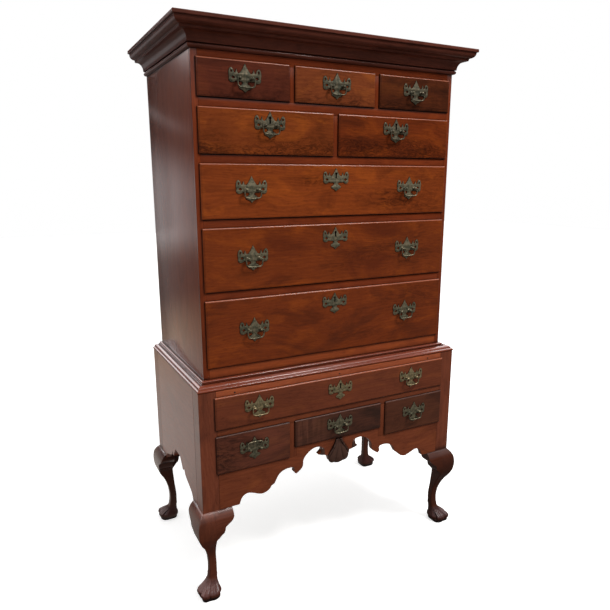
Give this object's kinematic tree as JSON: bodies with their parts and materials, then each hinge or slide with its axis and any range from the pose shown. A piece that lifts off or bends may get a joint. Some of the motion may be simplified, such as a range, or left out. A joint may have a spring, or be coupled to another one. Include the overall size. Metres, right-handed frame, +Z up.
{
  "type": "highboy",
  "caption": "Flat-top highboy: an upper case of drawers on a lower case with a scalloped apron, carved shell, cabriole legs, batwing brasses and swinging bails.",
  "frame": {"origin": "on the floor, under the middle of the whole highboy", "axes": "+Z up, -Y out of the drawer fronts, +X to the right of a person who faces them"},
  "size_m": [1.082, 0.623, 1.83],
  "materials": {
    "drawer_wood": "warm red-brown walnut, aged polish, figured",
    "front_wood": "warm red-brown walnut, aged polish",
    "case_wood": "brown walnut, aged polish",
    "moulding_wood": "dark walnut, aged polish",
    "back_wood": "unfinished poplar, darkened by age",
    "brass": "dull cast brass with patina"
  },
  "bodies": {
    "case": {"upper_carcase": "case_wood", "upper_front_frame": "front_wood", "cornice": "moulding_wood", "waist_moulding": "moulding_wood", "lower_front_frame": "front_wood", "lower_side_left": "case_wood", "lower_side_right": "case_wood", "lower_back": "back_wood", "leg_front_left": "front_wood", "leg_front_right": "front_wood", "leg_back_left": "front_wood", "leg_back_right": "front_wood"},
    "drawer_top_left": {"drawer_top_left": "drawer_wood", "bail_plate_top_left": "brass"},
    "bail_top_left": {"bail_top_left": "brass"},
    "drawer_top_centre": {"drawer_top_centre": "drawer_wood", "bail_plate_top_centre": "brass"},
    "bail_top_centre": {"bail_top_centre": "brass"},
    "drawer_top_right": {"drawer_top_right": "drawer_wood", "bail_plate_top_right": "brass"},
    "bail_top_right": {"bail_top_right": "brass"},
    "drawer_second_left": {"drawer_second_left": "drawer_wood", "bail_plate_second_left": "brass"},
    "bail_second_left": {"bail_second_left": "brass"},
    "drawer_second_right": {"drawer_second_right": "drawer_wood", "bail_plate_second_right": "brass"},
    "bail_second_right": {"bail_second_right": "brass"},
    "drawer_long_upper": {"drawer_long_upper": "drawer_wood", "bail_plate_long_upper_left": "brass", "bail_plate_long_upper_right": "brass", "escutcheon_long_upper": "brass"},
    "bail_long_upper_left": {"bail_long_upper_left": "brass"},
    "bail_long_upper_right": {"bail_long_upper_right": "brass"},
    "drawer_long_middle": {"drawer_long_middle": "drawer_wood", "bail_plate_long_middle_left": "brass", "bail_plate_long_middle_right": "brass", "escutcheon_long_middle": "brass"},
    "bail_long_middle_left": {"bail_long_middle_left": "brass"},
    "bail_long_middle_right": {"bail_long_middle_right": "brass"},
    "drawer_long_lower": {"drawer_long_lower": "drawer_wood", "bail_plate_long_lower_left": "brass", "bail_plate_long_lower_right": "brass", "escutcheon_long_lower": "brass"},
    "bail_long_lower_left": {"bail_long_lower_left": "brass"},
    "bail_long_lower_right": {"bail_long_lower_right": "brass"},
    "drawer_lower_long": {"drawer_lower_long": "drawer_wood", "bail_plate_lower_long_left": "brass", "bail_plate_lower_long_right": "brass", "escutcheon_lower_long": "brass"},
    "bail_lower_long_left": {"bail_lower_long_left": "brass"},
    "bail_lower_long_right": {"bail_lower_long_right": "brass"},
    "drawer_lower_left": {"drawer_lower_left": "drawer_wood", "bail_plate_lower_left": "brass"},
    "bail_lower_left": {"bail_lower_left": "brass"},
    "drawer_lower_centre": {"drawer_lower_centre": "drawer_wood", "bail_plate_lower_centre": "brass"},
    "bail_lower_centre": {"bail_lower_centre": "brass"},
    "drawer_lower_right": {"drawer_lower_right": "drawer_wood", "bail_plate_lower_right": "brass"},
    "bail_lower_right": {"bail_lower_right": "brass"}
  },
  "joints": [
    {"name": "top_left_slide", "type": "slide", "parent": "case", "child": "drawer_top_left", "axis": [0, -1, 0], "range_m": [0, 0.38]},
    {"name": "top_left_bail_swing", "type": "hinge", "parent": "drawer_top_left", "child": "bail_top_left", "pos_m": [-0.316, -0.2598, 1.6772], "axis": [-1, 0, 0], "range_deg": [-14, 194]},
    {"name": "top_centre_slide", "type": "slide", "parent": "case", "child": "drawer_top_centre", "axis": [0, -1, 0], "range_m": [0, 0.38]},
    {"name": "top_centre_bail_swing", "type": "hinge", "parent": "drawer_top_centre", "child": "bail_top_centre", "pos_m": [0, -0.2598, 1.6772], "axis": [-1, 0, 0], "range_deg": [-14, 194]},
    {"name": "top_right_slide", "type": "slide", "parent": "case", "child": "drawer_top_right", "axis": [0, -1, 0], "range_m": [0, 0.38]},
    {"name": "top_right_bail_swing", "type": "hinge", "parent": "drawer_top_right", "child": "bail_top_right", "pos_m": [0.316, -0.2598, 1.6772], "axis": [-1, 0, 0], "range_deg": [-14, 194]},
    {"name": "second_left_slide", "type": "slide", "parent": "case", "child": "drawer_second_left", "axis": [0, -1, 0], "range_m": [0, 0.38]},
    {"name": "second_left_bail_swing", "type": "hinge", "parent": "drawer_second_left", "child": "bail_second_left", "pos_m": [-0.237, -0.2598, 1.5477], "axis": [-1, 0, 0], "range_deg": [-14, 194]},
    {"name": "second_right_slide", "type": "slide", "parent": "case", "child": "drawer_second_right", "axis": [0, -1, 0], "range_m": [0, 0.38]},
    {"name": "second_right_bail_swing", "type": "hinge", "parent": "drawer_second_right", "child": "bail_second_right", "pos_m": [0.237, -0.2598, 1.5477], "axis": [-1, 0, 0], "range_deg": [-14, 194]},
    {"name": "long_upper_slide", "type": "slide", "parent": "case", "child": "drawer_long_upper", "axis": [0, -1, 0], "range_m": [0, 0.38]},
    {"name": "long_upper_left_bail_swing", "type": "hinge", "parent": "drawer_long_upper", "child": "bail_long_upper_left", "pos_m": [-0.30225, -0.2598, 1.3567], "axis": [-1, 0, 0], "range_deg": [-14, 194]},
    {"name": "long_upper_right_bail_swing", "type": "hinge", "parent": "drawer_long_upper", "child": "bail_long_upper_right", "pos_m": [0.30225, -0.2598, 1.3567], "axis": [-1, 0, 0], "range_deg": [-14, 194]},
    {"name": "long_middle_slide", "type": "slide", "parent": "case", "child": "drawer_long_middle", "axis": [0, -1, 0], "range_m": [0, 0.38]},
    {"name": "long_middle_left_bail_swing", "type": "hinge", "parent": "drawer_long_middle", "child": "bail_long_middle_left", "pos_m": [-0.30225, -0.2598, 1.1442], "axis": [-1, 0, 0], "range_deg": [-14, 194]},
    {"name": "long_middle_right_bail_swing", "type": "hinge", "parent": "drawer_long_middle", "child": "bail_long_middle_right", "pos_m": [0.30225, -0.2598, 1.1442], "axis": [-1, 0, 0], "range_deg": [-14, 194]},
    {"name": "long_lower_slide", "type": "slide", "parent": "case", "child": "drawer_long_lower", "axis": [0, -1, 0], "range_m": [0, 0.38]},
    {"name": "long_lower_left_bail_swing", "type": "hinge", "parent": "drawer_long_lower", "child": "bail_long_lower_left", "pos_m": [-0.30225, -0.2598, 0.9107], "axis": [-1, 0, 0], "range_deg": [-14, 194]},
    {"name": "long_lower_right_bail_swing", "type": "hinge", "parent": "drawer_long_lower", "child": "bail_long_lower_right", "pos_m": [0.30225, -0.2598, 0.9107], "axis": [-1, 0, 0], "range_deg": [-14, 194]},
    {"name": "lower_long_slide", "type": "slide", "parent": "case", "child": "drawer_lower_long", "axis": [0, -1, 0], "range_m": [0, 0.42]},
    {"name": "lower_long_left_bail_swing", "type": "hinge", "parent": "drawer_lower_long", "child": "bail_lower_long_left", "pos_m": [-0.30954, -0.3058, 0.662], "axis": [-1, 0, 0], "range_deg": [-14, 194]},
    {"name": "lower_long_right_bail_swing", "type": "hinge", "parent": "drawer_lower_long", "child": "bail_lower_long_right", "pos_m": [0.30954, -0.3058, 0.662], "axis": [-1, 0, 0], "range_deg": [-14, 194]},
    {"name": "lower_left_slide", "type": "slide", "parent": "case", "child": "drawer_lower_left", "axis": [0, -1, 0], "range_m": [0, 0.42]},
    {"name": "lower_left_bail_swing", "type": "hinge", "parent": "drawer_lower_left", "child": "bail_lower_left", "pos_m": [-0.33019, -0.3058, 0.5188], "axis": [-1, 0, 0], "range_deg": [-206, 2]},
    {"name": "lower_centre_slide", "type": "slide", "parent": "case", "child": "drawer_lower_centre", "axis": [0, -1, 0], "range_m": [0, 0.42]},
    {"name": "lower_centre_bail_swing", "type": "hinge", "parent": "drawer_lower_centre", "child": "bail_lower_centre", "pos_m": [0, -0.3058, 0.53365], "axis": [-1, 0, 0], "range_deg": [-14, 194]},
    {"name": "lower_right_slide", "type": "slide", "parent": "case", "child": "drawer_lower_right", "axis": [0, -1, 0], "range_m": [0, 0.42]},
    {"name": "lower_right_bail_swing", "type": "hinge", "parent": "drawer_lower_right", "child": "bail_lower_right", "pos_m": [0.33019, -0.3058, 0.5188], "axis": [-1, 0, 0], "range_deg": [-14, 194]}
  ]
}
